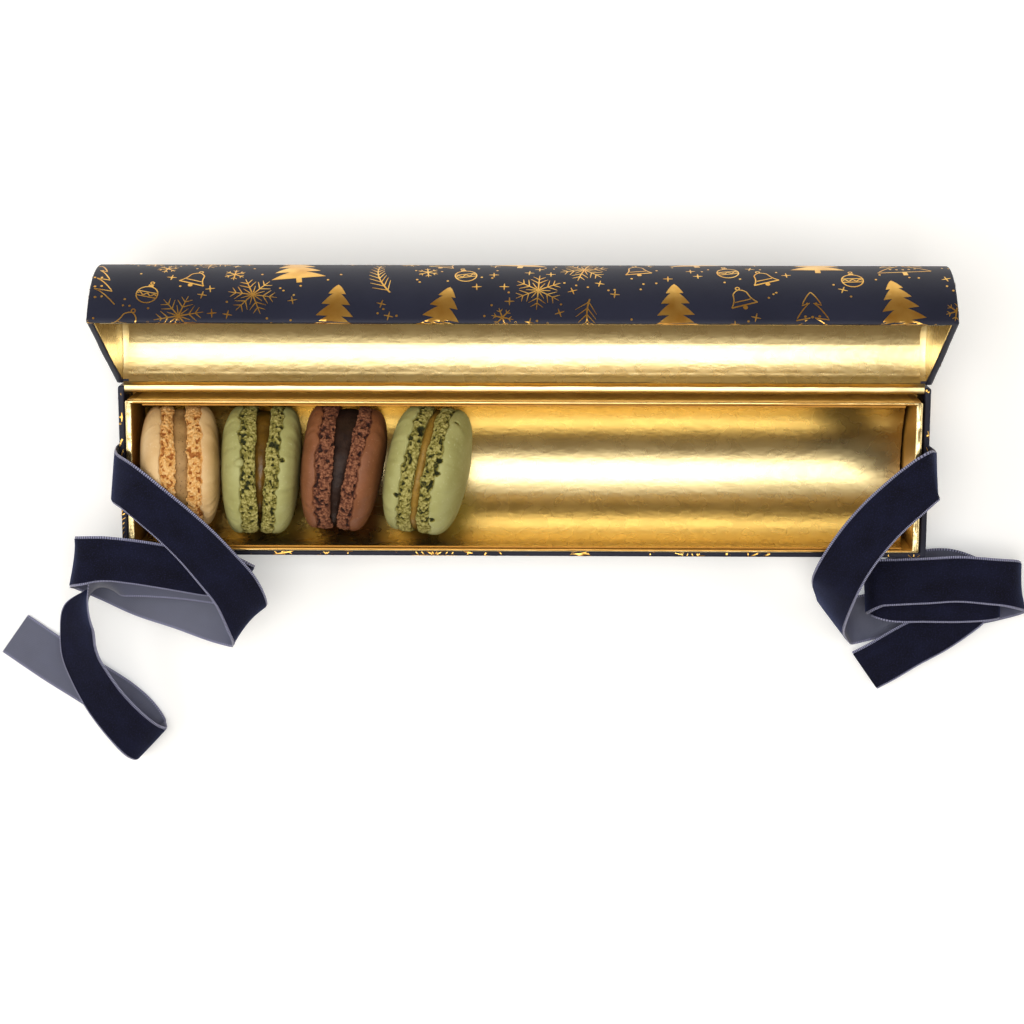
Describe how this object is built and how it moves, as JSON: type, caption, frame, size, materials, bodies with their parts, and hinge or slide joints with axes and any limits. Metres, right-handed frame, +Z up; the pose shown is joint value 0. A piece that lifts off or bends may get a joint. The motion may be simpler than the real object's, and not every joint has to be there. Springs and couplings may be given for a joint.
{
  "type": "box of macarons",
  "caption": "Long gift box with a hinged half-round lid, macarons on edge in a gold channel, and two loose velvet ribbons fixed to its ends.",
  "frame": {"origin": "centre of the underside of the box's base", "axes": "+X along the box, +Y towards the hinge and the open lid, +Z up"},
  "size_m": [0.3758, 0.1891, 0.0837],
  "materials": {
    "printed_paper": "satin printed paper over greyboard, night blue with gold foil motifs",
    "gold_paper": "gold foil paper on card, fine wrinkled gloss",
    "velvet_ribbon": "night blue velvet face, satin back, pale stitched selvedges",
    "vanilla_biscuit": "baked almond biscuit, smooth dome, crumbly foot",
    "vanilla_filling": "speckled cream",
    "pistachio_biscuit": "baked almond biscuit, smooth dome, crumbly foot",
    "pistachio_filling": "glossy soft caramel and cream",
    "chocolate_biscuit": "baked almond biscuit, smooth dome, crumbly foot",
    "chocolate_filling": "dark ganache"
  },
  "bodies": {
    "base": {"base_shell": "printed_paper", "neck": "gold_paper", "channel": "gold_paper", "hinge_paper": "gold_paper", "vanilla_left": "vanilla_biscuit", "vanilla_right": "vanilla_biscuit", "vanilla_filling": "vanilla_filling", "pistachio_a_left": "pistachio_biscuit", "pistachio_a_right": "pistachio_biscuit", "pistachio_a_filling": "pistachio_filling", "chocolate_left": "chocolate_biscuit", "chocolate_right": "chocolate_biscuit", "chocolate_filling": "chocolate_filling", "pistachio_b_left": "pistachio_biscuit", "pistachio_b_right": "pistachio_biscuit", "pistachio_b_filling": "pistachio_filling", "ribbon_left": "velvet_ribbon", "ribbon_right": "velvet_ribbon"},
    "lid": {"lid_shell": "printed_paper", "lid_liner": "gold_paper"}
  },
  "joints": [
    {"name": "lid_hinge", "type": "hinge", "parent": "base", "child": "lid", "pos_m": [0, 0.0306, 0.03015], "axis": [1, 0, 0], "range_deg": [-22, 118], "deforming": ["ribbon_left", "ribbon_right"]}
  ]
}
